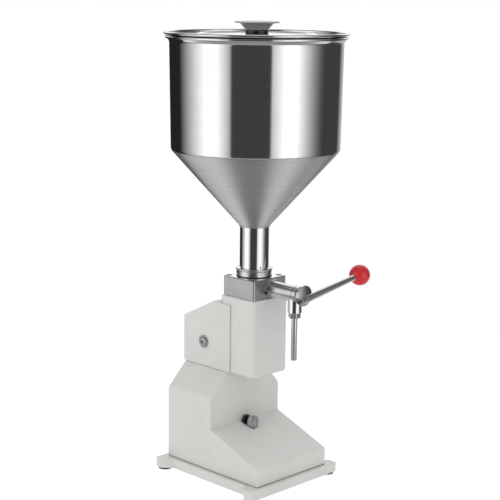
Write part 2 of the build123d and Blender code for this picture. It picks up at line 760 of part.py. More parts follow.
def link_rod():
    eye = slab((slot_x - slot_half_x - eye_wall, slot_x + slot_half_x + eye_wall), (eye_y, eye_y + eye_thickness),
               (crank_pin_z - slot_half_z - eye_wall, crank_pin_z + slot_half_z + eye_wall))
    eye = fillet(eye.edges().filter_by(Axis.Y), eye_wall)
    slot = slab((slot_x - slot_half_x + slot_half_z, slot_x + slot_half_x - slot_half_z),
                (eye_y - 1, eye_y + eye_thickness + 1), (crank_pin_z - slot_half_z, crank_pin_z + slot_half_z))
    for end in (-1, 1):
        slot += rod("Y", slot_half_z, eye_y - 1, eye_y + eye_thickness + 1,
                    (slot_x + end * (slot_half_x - slot_half_z), crank_pin_z))
    half = eye_thickness / 2
    plate = slab((link_plane_x - half, link_plane_x + half), (link_y - link_plate_half_y, link_y + link_plate_half_y),
                 (link_pin_z - link_plate_low, link_pin_z + link_plate_high))
    plate = fillet(plate.edges().filter_by(Axis.X), 4)
    bar = rod("Z", link_rod_radius, link_pin_z + link_plate_high - 3, crank_pin_z - slot_half_z - 1,
              (link_plane_x, link_y))
    return plate + bar + eye - slot - rod("X", crank_pin_radius, 0, 2 * link_plane_x, (link_y, link_pin_z))


def link_pin():
    near = -rocker_thickness / 2 - slip_gap
    pin = rod("X", crank_pin_radius, near - 1, link_plane_x + eye_thickness / 2 + 0.5, (link_y, link_pin_z))
    return pin + rod("X", crank_pin_radius + 1.2, near - 2, near, (link_y, link_pin_z))


def link_guide_bush():
    low = guide_bush_low_z
    return ring("Z", guide_bush_radius, link_rod_radius + running_gap, low, guide_bush_high_z,
                (link_plane_x, link_y))


# ---------------------------------------------------------------- piston
def piston():
    body = rod("Z", bore_radius - running_gap, piston_low_z, piston_high_z, (0, mast_y))
    body -= rod("Z", piston_rod_radius, piston_low_z - 1, piston_high_z - 6, (0, mast_y))
    for z in piston_seal_places():
        body -= ring("Z", bore_radius + 1, bore_radius - piston_groove_depth, z - piston_seal_width / 2,
                     z + piston_seal_width / 2, (0, mast_y))
    return body


def piston_seal_places():
    middle = (piston_low_z + piston_high_z) / 2
    return [middle - piston_seal_spacing / 2, middle + piston_seal_spacing / 2]


def piston_seals():
    return [ring("Z", bore_radius - running_gap / 2, bore_radius - piston_groove_depth, z - piston_seal_width / 2,
                 z + piston_seal_width / 2, (0, mast_y)) for z in piston_seal_places()]


def clevis_top_z():
    return piston_pin_z + clevis_crotch + clevis_head


def piston_rod():
    return rod("Z", piston_rod_radius, clevis_top_z(), piston_high_z - 6, (0, mast_y))


def clevis():
    body = slab((-clevis_half_x, clevis_half_x), (mast_y - clevis_half_y, mast_y + clevis_half_y),
                (piston_pin_z - clevis_drop, clevis_top_z()))
    body = fillet(body.edges().group_by(Axis.Z)[0].filter_by(Axis.X), 6)
    gap = rocker_thickness / 2 + slip_gap
    body -= slab((-gap, gap), (mast_y - clevis_half_y - 1, mast_y + clevis_half_y + 1),
                 (piston_pin_z - clevis_drop - 1, piston_pin_z + clevis_crotch))
    return body - rod("X", clevis_pin_radius, -clevis_half_x - 1, clevis_half_x + 1, (mast_y, piston_pin_z))


def clevis_pin():
    reach = clevis_half_x + clip_thickness + 1.2
    return rod("X", clevis_pin_radius, -reach, reach, (mast_y, piston_pin_z))


def clevis_clips():
    clips = []
    for side in (-1, 1):
        span = sorted((side * clevis_half_x, side * (clevis_half_x + clip_thickness)))
        clips.append(ring("X", clip_radius, clevis_pin_radius, span[0], span[1], (mast_y, piston_pin_z)))
    return clips


# ---------------------------------------------------------------- rocker and its pivot
def level_slot(y, travel, radius):
    """A slot along the rocker's arm, drawn with the arm level, for a pin that drifts by travel."""
    half = radius + pin_slack
    reach = travel / 2 + slot_reserve
    thick = rocker_thickness / 2 + 1
    slot = slab((-thick, thick), (y - reach, y + reach), (pivot_z - half, pivot_z + half))
    for end in (-1, 1):
        slot += rod("X", half, -thick, thick, (y + end * reach, pivot_z))
    return slot


def on_rocker(shape):
    """Swings a piece drawn with the arm level down to the rest position."""
    return Pos(0, pivot_y, pivot_z) * Rot(half_swing, 0, 0) * Pos(0, -pivot_y, -pivot_z) * shape


def pin_drift(arm):
    """How much further from the pivot a pin sits at the ends of the swing than at its middle."""
    return arm / math.cos(math.radians(half_swing)) - arm


def rocker():
    half = rocker_thickness / 2
    tip_drift = pin_drift(piston_arm)
    tip_y = mast_y - tip_drift / 2
    tip_radius = clevis_pin_radius + pin_slack + rocker_rib
    outline = [(tip_y, pivot_z - tip_radius), (tip_y, pivot_z + tip_radius),
               (pivot_y, pivot_z + rocker_hub_radius), (pivot_y, pivot_z - rocker_hub_radius)]
    arm = side_profile(outline, half)
    arm += rod("X", tip_radius, -half, half, (tip_y, pivot_z))
    arm += rod("X", rocker_hub_radius, -half, half, (pivot_y, pivot_z))
    lower = slab((-half, half), (pivot_y - lower_arm_half_width, pivot_y + lower_arm_half_width),
                 (pivot_z - lower_arm_length, pivot_z))
    lower += rod("X", lower_arm_half_width, -half, half, (pivot_y, pivot_z - lower_arm_length))
    arm += lower
    arm -= rod("X", bush_radius, -half - 1, half + 1, (pivot_y, pivot_z))
    arm -= level_slot(tip_y, tip_drift, clevis_pin_radius)
    link_drift = pin_drift(link_arm)
    arm -= level_slot(link_y - link_drift / 2, link_drift, crank_pin_radius)
    return on_rocker(arm)


def rocker_bush():
    half = bush_length / 2
    return ring("X", bush_radius, pivot_radius + running_gap, -half, half, (pivot_y, pivot_z))


def stop_pad():
    face = pivot_y - lower_arm_half_width
    pad = rod("Y", stop_pad_radius, face - stop_pad_thickness, face, (0, pivot_z - lower_arm_length))
    return on_rocker(pad)


def pivot_bolt():
    head_x = -cover_half_x - washer_thickness
    head = rod("X", bolt_head_radius, head_x - bolt_head_height, head_x, (pivot_y, pivot_z))
    head = fillet(head.edges().sort_by(Axis.X)[0], bolt_crown_radius)
    bolt = head + rod("X", pivot_radius, head_x - 1, cover_half_x + washer_thickness + nut_height + 2,
                      (pivot_y, pivot_z))
    return bolt - hexagon("X", bolt_socket_radius, head_x - bolt_head_height - 1,
                          head_x - bolt_head_height + bolt_socket_depth, (pivot_y, pivot_z))


def pivot_washers():
    washers = []
    for side in (-1, 1):
        span = sorted((side * cover_half_x, side * (cover_half_x + washer_thickness)))
        washers.append(ring("X", washer_radius, pivot_radius, span[0], span[1], (pivot_y, pivot_z)))
    return washers


def pivot_nut():
    low = cover_half_x + washer_thickness
    nut = hexagon("X", nut_corner, low, low + nut_height, (pivot_y, pivot_z))
    return nut - rod("X", pivot_radius, low - 1, low + nut_height + 1, (pivot_y, pivot_z))


def pivot_spacers():
    inner = bush_length / 2 + slip_gap
    spacers = []
    for side in (-1, 1):
        span = sorted((side * inner, side * bracket_inner_x))
        spacers.append(ring("X", bush_radius, pivot_radius, span[0], span[1], (pivot_y, pivot_z)))
    return spacers


def rocker_brackets():
    brackets = []
    outer = bracket_inner_x + bracket_thickness
    for side in (-1, 1):
        wall = sorted((side * bracket_inner_x, side * outer))
        foot = sorted((side * bracket_inner_x, side * (outer + bracket_foot)))
        y_span = (pivot_y - bracket_half_y, pivot_y + bracket_half_y)
        plate = slab(wall, y_span, (housing_top_z, pivot_z))
        plate += rod("X", bracket_head, wall[0], wall[1], (pivot_y, pivot_z))
        plate += slab(foot, y_span, (housing_top_z, housing_top_z + bracket_thickness))
        plate -= rod("X", pivot_radius, wall[0] - 1, wall[1] + 1, (pivot_y, pivot_z))
        for x, y in frame_screw_places()[2:]:
            plate -= rod("Z", m6_radius, housing_top_z - 1, housing_top_z + bracket_thickness + 1, (x, y))
        brackets.append(plate)
    return brackets


# ---------------------------------------------------------------- rear cover
def cover_block(inset, low_z, half_width):
    """The cover's outer form, taken in by its wall."""
    fall = (cover_top_z - cover_low_rear_z) / (cover_rear_y - cover_fold_y)
    lean = math.sqrt(1 + fall ** 2)
    fold_y = cover_fold_y - inset * (lean - 1) / fall
    rear_y = cover_rear_y - inset
    top_z = cover_top_z - inset
    rear_z = cover_low_rear_z + fall * inset - inset * lean
    outline = [(cover_front_y, low_z), (cover_front_y, top_z), (fold_y, top_z), (rear_y, rear_z), (rear_y, low_z)]
    return side_profile(outline, half_width)


def rear_cover():
    low_z = housing_top_z + cover_seam
    outer = cover_block(0, low_z, cover_half_x)
    upper = [edge for edge in outer.edges()
             if edge.center().Z > cover_low_rear_z - 1 and edge.center().Y > cover_front_y + 1
             and abs(edge.center().X) > cover_half_x - 0.1]
    outer = fillet(upper, cover_edge_radius)
    shell = outer - cover_block(cover_wall, low_z - 1, cover_half_x - cover_wall)
    gap_x = column_half_x + cover_fit
    shell -= slab((-gap_x, gap_x), (cover_front_y - 1, column_rear_y + cover_fit), (low_z - 1, cover_top_z + 1))
    shell -= rod("X", pivot_radius, -cover_half_x - 1, cover_half_x + 1, (pivot_y, pivot_z))
    shell -= rod("Z", guide_bush_radius, cover_top_z - cover_wall - 1, cover_top_z + 1, (link_plane_x, link_y))
    for side in (-1, 1):
        shell -= rod("Y", m5_radius, cover_rear_y - cover_wall - 1, cover_rear_y + 1,
                     (side * cover_screw_x, cover_screw_z))
    return shell


def cover_screws():
    length = cover_wall + cover_fit + lug_thickness + 2
    screw = Rot(-90, 0, 0) * cap_screw(m5_radius, m5_head_radius, m5_head_height, length)
    return [Pos(side * cover_screw_x, cover_rear_y, cover_screw_z) * screw for side in (-1, 1)]


# ---------------------------------------------------------------- adjusting screw
def stop_face_y():
    """Front of the stop pad when the rocker has swung right up."""
    lean = math.radians(half_swing)
    reach = lower_arm_half_width + stop_pad_thickness
    return pivot_y - lower_arm_length * math.sin(lean) - reach * math.cos(lean)


def screw_tip_y():
    return stop_face_y() - stop_pad_radius * math.sin(math.radians(half_swing)) - screw_tip_gap


def adjusting_screw():
    return rod("Y", screw_radius, screw_front_y, screw_tip_y(), (0, screw_z))


def adjusting_knob():
    knob = rod("Y", adjust_knob_radius, adjust_knob_front_y, adjust_knob_rear_y, (0, screw_z))
    knob = chamfer(knob.edges(), 0.8)
    return knob - rod("Y", screw_radius, screw_front_y, adjust_knob_rear_y + 1, (0, screw_z))


def adjusting_lock_nut():
    rear = housing_face_y
    nut = hexagon("Y", lock_nut_corner, rear - lock_nut_length, rear, (0, screw_z))
    return nut - rod("Y", screw_radius + running_gap, rear - lock_nut_length - 1, rear + 1, (0, screw_z))


def thread_insert():
    low = housing_face_y + housing_wall
    return ring("Y", insert_radius, screw_radius + running_gap, low, low + insert_length, (0, screw_z))


# ---------------------------------------------------------------- hopper
def hopper_shell():
    cone = math.atan2(cone_high_z - cone_low_z, barrel_low_radius - cone_low_radius)
    shift_r = hopper_wall / math.sin(cone)
    lip = (barrel_high_radius + flare_reach, flare_z + flare_height)
    outer = Polyline((cone_low_radius, cone_low_z), (barrel_low_radius, cone_high_z),
                     (barrel_high_radius, flare_z), lip)
    inner = Polyline((cone_low_radius - shift_r, cone_low_z),
                     (barrel_low_radius - hopper_wall, cone_high_z + hopper_wall * math.tan(cone / 2) / 2),
                     (barrel_high_radius - hopper_wall, flare_z), (lip[0] - hopper_wall, lip[1]))
    ends = [Line(outer @ 0, inner @ 0), Line(outer @ 1, inner @ 1)]
    wall = make_face([*outer.edges(), *inner.edges(), *ends])
    bend = [corner for corner in wall.vertices() if abs(corner.Y - cone_high_z) < hopper_wall]
    wall = fillet(bend, barrel_corner_radius)
    shell = revolve(Plane.XZ * wall, Axis.Z)
    rim = Pos(0, 0, rim_z) * Torus(rim_radius, rim_wire_radius)
    shell += rim
    return Pos(0, mast_y, 0) * shell


def hopper_neck():
    return ring("Z", neck_radius, neck_radius - neck_wall, neck_low_z, cone_low_z, (0, mast_y))


def neck_gasket():
    return ring("Z", neck_gasket_radius, hopper_port_radius, block_top_z, neck_gasket_top_z, (0, mast_y))


def neck_collar():
    collar = ring("Z", collar_radius, neck_radius, neck_gasket_top_z, collar_top_z, (0, mast_y))
    return collar + ring("Z", neck_radius, hopper_port_radius, neck_gasket_top_z, neck_low_z, (0, mast_y))


def neck_ring():
    rim = ring("Z", neck_ring_radius, neck_radius, collar_top_z, collar_top_z + neck_ring_height, (0, mast_y))
    outer = [edge for edge in rim.edges().filter_by(GeomType.CIRCLE) if edge.radius > neck_ring_radius - 0.1]
    return fillet(outer, neck_ring_edge)


# ---------------------------------------------------------------- lid
def hopper_lid():
    step = 1.0
    top = [(0, lid_crown_z), (lid_crown_radius - 2, lid_dish_z + step), (lid_crown_radius, lid_dish_z),
           (lid_dish_radius, lid_dish_z), (lid_dish_radius + 3, lid_edge_high_z - 0.4),
           (lid_radius - 3, lid_edge_high_z), (lid_radius - 0.8, lid_edge_high_z - 1.2),
           (lid_radius, lid_edge_high_z - 2.6), (lid_radius, lid_edge_low_z)]
    under = [(lid_radius - lid_sheet, lid_edge_low_z), (lid_radius - lid_sheet, lid_edge_high_z - 2.6),
             (lid_radius - 3, lid_edge_high_z - lid_sheet), (lid_dish_radius + 3.4, lid_edge_high_z - lid_sheet - 0.4),
             (lid_dish_radius + 0.4, lid_dish_z - lid_sheet), (lid_crown_radius - 0.4, lid_dish_z - lid_sheet),
             (lid_crown_radius - 2.4, lid_dish_z + step - lid_sheet), (0, lid_crown_z - lid_sheet)]
    lid = turned(top + under, 0, mast_y)
    half = lid_seat_width / 2
    rim_top = rim_z + rim_wire_radius + lid_seat_gap
    return lid + ring("Z", rim_radius + half, rim_radius - half, rim_top, lid_edge_high_z - lid_sheet / 2,
                      (0, mast_y))


def knob_base():
    return rod("Z", knob_base_radius, lid_crown_z, lid_crown_z + knob_base_height, (0, mast_y))


def lid_knob():
    low = lid_crown_z + knob_base_height
    waist = low + knob_body_height
    points = [(0, low), (knob_base_radius, low), (knob_body_radius, waist - 1), (knob_flange_radius - 1.2, waist),
              (knob_flange_radius, waist + 0.8), (knob_flange_radius - 0.6, waist + knob_flange_height - 0.4),
              (knob_flange_radius - 1.6, waist + knob_flange_height), (0, waist + knob_flange_height)]
    return turned(points, 0, mast_y)


pieces = [
    rubber_pads, base_plate, base_gasket, housing_screws, lower_housing, frame_screws, column_casting, cylinder_liner,
    liner_seal, block_gasket, valve_block, block_screws, collar_set_screw, rear_gland, discharge_tube, tube_washer,
    tube_lock_nut, outlet_nipple, nozzle_tube, nozzle_nut, valve_spindle, spindle_seals, lever_hub, lever_arm,
    lever_screw, ball_knob, crank_disc, crank_set_screw, crank_pin, link_rod, link_pin, link_guide_bush,
    piston, piston_seals, piston_rod, clevis, clevis_pin, clevis_clips, rocker, rocker_bush, stop_pad,
    pivot_bolt, pivot_washers, pivot_nut, pivot_spacers, rocker_brackets, rear_cover, cover_screws,
    adjusting_screw, adjusting_knob, adjusting_lock_nut, thread_insert, hopper_shell, hopper_neck,
    neck_collar, neck_gasket, neck_ring, hopper_lid, knob_base, lid_knob,
]

os.makedirs("parts", exist_ok=True)
for make in pieces:
    shape = make()
    if isinstance(shape, list):
        shape = Compound(children=[solid for part in shape for solid in part.solids()])
    elif len(shape.solids()) == 1:
        shape = shape.solids()[0]
    export_step(shape, f"parts/{make.__name__}.step")

print("link travel", link_travel, "piston stroke", piston_stroke, "crank radius", crank_radius)
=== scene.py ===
import math

import bpy
from mathutils import Matrix, Vector


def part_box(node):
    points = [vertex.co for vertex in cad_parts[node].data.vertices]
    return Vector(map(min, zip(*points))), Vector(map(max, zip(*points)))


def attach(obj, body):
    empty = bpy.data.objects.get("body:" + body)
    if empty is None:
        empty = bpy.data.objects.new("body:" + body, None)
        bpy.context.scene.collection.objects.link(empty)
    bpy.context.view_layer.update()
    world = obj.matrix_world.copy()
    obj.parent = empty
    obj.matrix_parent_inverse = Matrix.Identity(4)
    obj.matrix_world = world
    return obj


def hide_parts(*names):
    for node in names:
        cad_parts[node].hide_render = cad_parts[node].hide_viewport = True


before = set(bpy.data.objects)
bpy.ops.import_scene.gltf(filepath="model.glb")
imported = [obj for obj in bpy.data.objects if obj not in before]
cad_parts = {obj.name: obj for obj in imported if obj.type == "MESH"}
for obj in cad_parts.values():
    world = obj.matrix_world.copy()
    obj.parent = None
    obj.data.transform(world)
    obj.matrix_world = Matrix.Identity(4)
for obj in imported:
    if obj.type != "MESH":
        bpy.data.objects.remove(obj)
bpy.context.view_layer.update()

# Looks of a bench-top piston liquid filler, in metres, in the frame of its machine parts:
# +Z is up, the front faces -Y, and the table is at Z = 0.

bpy.context.scene.view_settings.view_transform = "Standard"


# ---------------------------------------------------------------- places read from the machine's parts
def low(node):
    return Vector(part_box(node)[0])


def high(node):
    return Vector(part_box(node)[1])


def middle(node):
    return (low(node) + high(node)) / 2


mm = 0.001
up = Vector((0, 0, 1))
forward = Vector((0, -1, 0))
mast = Vector((middle("hopper_neck").x, middle("hopper_neck").y, 0))
neck_radius = (high("hopper_neck").x - low("hopper_neck").x) / 2
neck_low = low("hopper_neck").z
cone_low = high("hopper_neck").z
rim_top = high("hopper_shell").z
rim_outer = high("hopper_shell").x
lid_radius = high("hopper_lid").x
lid_high = high("hopper_lid").z
knob_base_top = high("knob_base").z
flange_radius = high("lid_knob").x
flange_top = high("lid_knob").z
screw_middle = middle("adjusting_knob")

# ---------------------------------------------------------------- sizes of the new pieces
sheet = 1.2 * mm
rim_wire = 2.6 * mm
rim_flare = 7.0 * mm
cone_foot_radius = 25.5 * mm
cone_top_radius = 138.5 * mm
cone_top = 557.0 * mm
barrel_top_radius = 141.0 * mm
barrel_bend = 10.0 * mm
lid_wire = 2.2 * mm
lid_lift = 0.8 * mm
lid_flat_radius = 138.0 * mm
lid_crown_radius = 40.0 * mm
lid_thickness = 1.0 * mm
lid_dish = 743.0 * mm
lid_bead_radius = 94.0 * mm
lid_bead_half = 2.2 * mm
lid_bead_height = 1.5 * mm
lever_angle = math.radians(8.84)
lever_cross = Vector((0, -130.5 * mm, 324.0 * mm))
ball_radius = 17.5 * mm
ball_reach = 136.6 * mm
ball_flat = 16.3 * mm
ball_seam = 0.12 * mm
flute_count = 36
thread_pitch = 1.5 * mm
thread_depth = 0.8 * mm
flute_share = 0.93            # of the knob's radius, left under a flute
knob_stem_radius = 18.0 * mm
knob_flange_thickness = 2.6 * mm


# ---------------------------------------------------------------- shader sums
class Value:
    """A node's output that takes part in Python sums."""

    def __init__(self, board, socket):
        self.board = board
        self.socket = socket

    def __add__(self, other):
        return self.board.sums("ADD", self, other)

    __radd__ = __add__

    def __sub__(self, other):
        return self.board.sums("SUBTRACT", self, other)

    def __rsub__(self, other):
        return self.board.sums("SUBTRACT", other, self)

    def __mul__(self, other):
        return self.board.sums("MULTIPLY", self, other)

    __rmul__ = __mul__

    def __pow__(self, other):
        return self.board.sums("POWER", self, other)


class Board:
    """The node tree of a material or of the world."""

    def __init__(self, tree):
        self.tree = tree
        tree.nodes.clear()

    def node(self, kind, settings=None, values=None, output=0):
        """Adds a node, sets it up, feeds its inputs and returns one of its outputs."""
        made = self.tree.nodes.new(kind)
        for name, setting in (settings or {}).items():
            setattr(made, name, setting)
        for name, value in (values or {}).items():
            self.feed(made.inputs[name], value)
        return Value(self, made.outputs[output]) if len(made.outputs) else made

    def feed(self, socket, value):
        if isinstance(value, Value):
            self.tree.links.new(value.socket, socket)
        else:
            socket.default_value = value

    def sums(self, operation, first, second):
        return self.node("ShaderNodeMath", {"operation": operation}, {0: first, 1: second})

    def mix(self, share, first, second):
        """A colour between two colours."""
        return self.node("ShaderNodeMix", {"data_type": "RGBA"}, {0: share, 6: first, 7: second}, 2)

    def place(self, stretch=(1, 1, 1), turn=(0, 0, 0)):
        """Object coordinates, stretched and turned."""
        where = self.node("ShaderNodeTexCoord", output=3)
        return self.node("ShaderNodeMapping", values={"Vector": where, "Scale": stretch, "Rotation": turn})

    def noise(self, where, scale, detail=3.0, rough=0.5):
        return self.node("ShaderNodeTexNoise", values={
            "Vector": where, "Scale": scale, "Detail": detail, "Roughness": rough})

    def axes(self, vector):
        """A vector's three parts."""
        apart = self.node("ShaderNodeSeparateXYZ", values={"Vector": vector})
        return [Value(self, part) for part in apart.socket.node.outputs]

    def spread(self, value, low_in, high_in, low_out=0.0, high_out=1.0):
        """Maps a value from one range to another, held at the ends."""
        return self.node("ShaderNodeMapRange", values={
            "Value": value, "From Min": low_in, "From Max": high_in, "To Min": low_out, "To Max": high_out})

    def bump(self, height, strength, distance, normal=None):
        values = {"Height": height, "Strength": strength, "Distance": distance}
        if normal is not None:
            values["Normal"] = normal
        return self.node("ShaderNodeBump", values=values)


def colour(red, green, blue):
    return (red, green, blue, 1)


def finish(name, sockets):
    """A material: sockets(board) gives the Principled shader's inputs by name."""
    material = bpy.data.materials.new(name)
    material.use_nodes = True
    board = Board(material.node_tree)
    shader = board.node("ShaderNodeBsdfPrincipled", values=sockets(board))
    board.node("ShaderNodeOutputMaterial", values={"Surface": shader})
    return material


# ---------------------------------------------------------------- finishes
def cream_paint(board):
    where = board.place()
    peel = board.noise(where, 900, 2.0)
    cloud = board.noise(where, 14, 3.0)
    grain = board.noise(where, 2600, 2.0)
    tone = board.spread(cloud, 0.3, 0.7)
    speck = board.spread(grain, 0.66, 0.78)
    base = board.mix(tone, colour(0.600, 0.592, 0.575), colour(0.640, 0.634, 0.618))
    return {
        "Base Color": board.mix(0.12 * speck, base, colour(0.50, 0.49, 0.47)),
        "Roughness": board.spread(cloud, 0.3, 0.7, 0.36, 0.44),
        "Specular IOR Level": 0.45,
        "Coat Weight": 0.12,
        "Coat Roughness": 0.22,
        "Normal": board.bump(peel, 0.10, 0.25 * mm),
    }


def mirror_steel(board):
    """Buffed sheet: near mirror, with the sheet's slow waves and a trace of buffing lines."""
    waves = board.noise(board.place((1, 1, 0.35)), 22, 1.0)
    lines = board.noise(board.place((6, 6, 900)), 1.0, 2.0)
    cloud = board.noise(board.place(), 30, 3.0)
    slow = board.bump(waves, 0.12, 0.4 * mm)
    return {
        "Base Color": board.mix(board.spread(cloud, 0.35, 0.65), colour(0.80, 0.80, 0.81), colour(0.84, 0.84, 0.85)),
        "Metallic": 1.0,
        "Roughness": board.spread(lines, 0.3, 0.7, 0.055, 0.10),
        "Normal": board.bump(lines, 0.02, 0.02 * mm, slow),
    }


def satin_cone(board):
    """Spun cone with fine rings, which smear its reflections up and down."""
    rings = board.noise(board.place((9, 9, 2600)), 1.0, 3.0)
    bands = board.noise(board.place((2, 2, 240)), 1.0, 2.0)
    return {
        "Base Color": board.mix(board.spread(bands, 0.35, 0.65), colour(0.84, 0.84, 0.85), colour(0.90, 0.90, 0.91)),
        "Metallic": 1.0,
        "Roughness": board.spread(rings, 0.3, 0.7, 0.48, 0.56),
        "Anisotropic": 0.96,
        "Anisotropic Rotation": 0.25,
        "Normal": board.bump(rings, 0.05, 0.04 * mm),
    }


def bright_bar(board):
    """Polished round bar and tube, with faint turning marks."""
    marks = board.noise(board.place((4, 1800, 4)), 1.0, 2.0)
    cloud = board.noise(board.place(), 60, 3.0)
    return {
        "Base Color": board.mix(board.spread(cloud, 0.35, 0.65), colour(0.76, 0.76, 0.77), colour(0.82, 0.82, 0.83)),
        "Metallic": 1.0,
        "Roughness": board.spread(marks, 0.3, 0.7, 0.14, 0.22),
        "Normal": board.bump(marks, 0.03, 0.03 * mm),
    }


def milled_block(board):
    """Ground sides with a lengthwise grain, and a top face with a finer machined finish whose colour is also painted
    lighter than the sides: painted light where it faces up.
    """
    grain = board.noise(board.place((40, 40, 2400)), 1.0, 4.0, 0.6)
    cloud = board.noise(board.place(), 35, 3.0)
    facing = board.node("ShaderNodeTexCoord", output=1)
    # faces that point up get a lighter colour: painted light on the top face, along with its smoother machined finish
    top = board.spread(board.axes(facing)[2], 0.90, 0.96)
    sides = board.mix(board.spread(cloud, 0.3, 0.7), colour(0.60, 0.60, 0.61), colour(0.70, 0.70, 0.71))
    return {
        "Base Color": board.mix(top, sides, colour(0.86, 0.86, 0.87)),
        "Metallic": 1.0,
        "Roughness": board.spread(grain, 0.3, 0.7, 0.32, 0.44) * (1 - 0.6 * top),
        "Normal": board.bump(grain, 0.10, 0.05 * mm),
    }


def turned_steel(board):
    """Fine turned rings on the collar and the nuts."""
    rings = board.noise(board.place((12, 12, 3000)), 1.0, 3.0)
    cloud = board.noise(board.place(), 50, 3.0)
    return {
        "Base Color": board.mix(board.spread(cloud, 0.3, 0.7), colour(0.66, 0.66, 0.67), colour(0.74, 0.74, 0.75)),
        "Metallic": 1.0,
        "Roughness": board.spread(rings, 0.3, 0.7, 0.20, 0.30),
        "Normal": board.bump(rings, 0.08, 0.04 * mm),
    }


def zinc_plate(board):
    where = board.place()
    crystals = board.noise(where, 420, 3.0)
    cloud = board.noise(where, 55, 3.0)
    return {
        "Base Color": board.mix(board.spread(cloud, 0.3, 0.7), colour(0.58, 0.59, 0.61), colour(0.70, 0.71, 0.73)),
        "Metallic": 1.0,
        "Roughness": board.spread(crystals, 0.3, 0.7, 0.20, 0.32),
        "Normal": board.bump(crystals, 0.06, 0.05 * mm),
    }


def black_oxide(board):
    where = board.place()
    wear = board.noise(where, 700, 4.0, 0.6)
    cloud = board.noise(where, 120, 3.0)
    rubbed = board.spread(wear, 0.58, 0.74)
    return {
        "Base Color": board.mix(rubbed, colour(0.085, 0.075, 0.068), colour(0.42, 0.38, 0.34)),
        "Metallic": 0.9,
        "Roughness": board.spread(cloud, 0.3, 0.7, 0.30, 0.44),
        "Normal": board.bump(wear, 0.12, 0.06 * mm),
    }


def bearing_bronze(board):
    where = board.place((10, 10, 1400))
    marks = board.noise(where, 1.0, 3.0)
    cloud = board.noise(board.place(), 90, 3.0)
    return {
        "Base Color": board.mix(board.spread(cloud, 0.3, 0.7), colour(0.48, 0.30, 0.13), colour(0.66, 0.45, 0.22)),
        "Metallic": 1.0,
        "Roughness": board.spread(marks, 0.3, 0.7, 0.28, 0.42),
        "Normal": board.bump(marks, 0.08, 0.04 * mm),
    }


def black_rubber(board):
    where = board.place()
    pores = board.noise(where, 1500, 3.0)
    bloom = board.noise(where, 80, 3.0)
    return {
        "Base Color": board.mix(board.spread(bloom, 0.35, 0.7),
                                colour(0.020, 0.020, 0.020), colour(0.040, 0.039, 0.037)),
        "Roughness": board.spread(pores, 0.3, 0.7, 0.62, 0.80),
        "Normal": board.bump(pores, 0.2, 0.08 * mm),
    }


def gasket_and_seam_shade(board):
    """The sealing sheet under the housing, dark brown-grey where its edge shows: partly the sheet's own colour and
    partly painted shade, so that the edge draws the shaded seam under the housing.
    """
    where = board.place()
    fibres = board.noise(where, 1200, 4.0, 0.6)
    return {
        # dark brown-grey edge: the sheet's colour together with painted shade of the seam under the housing
        "Base Color": board.mix(board.spread(fibres, 0.3, 0.7), colour(0.10, 0.085, 0.075), colour(0.17, 0.15, 0.13)),
        "Roughness": board.spread(fibres, 0.3, 0.7, 0.7, 0.85),
        "Normal": board.bump(fibres, 0.15, 0.05 * mm),
    }


def silicone(board):
    where = board.place()
    cloud = board.noise(where, 90, 3.0)
    return {
        "Base Color": board.mix(board.spread(cloud, 0.3, 0.7), colour(0.66, 0.66, 0.64), colour(0.76, 0.76, 0.74)),
        "Roughness": board.spread(cloud, 0.3, 0.7, 0.42, 0.55),
        "Subsurface Weight": 0.15,
        "Normal": board.bump(board.noise(where, 1300, 2.0), 0.08, 0.05 * mm),
    }


def red_phenolic(board):
    where = board.place()
    swirl = board.noise(where, 40, 3.0)
    skin = board.noise(where, 260, 2.0)
    return {
        "Base Color": board.mix(board.spread(swirl, 0.3, 0.7),
                                colour(0.57, 0.006, 0.012), colour(0.63, 0.010, 0.016)),
        "Roughness": board.spread(skin, 0.3, 0.7, 0.36, 0.42),
        "Coat Weight": 0.5,
        "Coat Roughness": 0.035,
    }


def grey_moulding(board):
    where = board.place()
    texture = board.noise(where, 1800, 2.0)
    cloud = board.noise(where, 70, 3.0)
    return {
        "Base Color": board.mix(board.spread(cloud, 0.3, 0.7), colour(0.44, 0.42, 0.41), colour(0.52, 0.50, 0.49)),
        "Roughness": board.spread(texture, 0.3, 0.7, 0.34, 0.46),
        "Normal": board.bump(texture, 0.08, 0.05 * mm),
    }


def black_moulding(board):
    where = board.place()
    skin = board.noise(where, 500, 2.0)
    cloud = board.noise(where, 60, 3.0)
    return {
        "Base Color": board.mix(board.spread(cloud, 0.3, 0.7),
                                colour(0.018, 0.017, 0.017), colour(0.030, 0.029, 0.029)),
        "Roughness": board.spread(skin, 0.3, 0.7, 0.12, 0.20),
        "Coat Weight": 0.4,
        "Normal": board.bump(skin, 0.03, 0.08 * mm),
    }


paint = finish("cream_paint", cream_paint)
mirror = finish("mirror_steel", mirror_steel)
satin = finish("satin_cone", satin_cone)
bar = finish("bright_bar", bright_bar)
block = finish("milled_block", milled_block)
turned = finish("turned_steel", turned_steel)
zinc = finish("zinc_plate", zinc_plate)
oxide = finish("black_oxide", black_oxide)
bronze = finish("bearing_bronze", bearing_bronze)
rubber = finish("black_rubber", black_rubber)
gasket_shade_finish = finish("gasket_and_seam_shade", gasket_and_seam_shade)
seal = finish("silicone", silicone)
red = finish("red_phenolic", red_phenolic)
grey = finish("grey_moulding", grey_moulding)
black = finish("black_moulding", black_moulding)

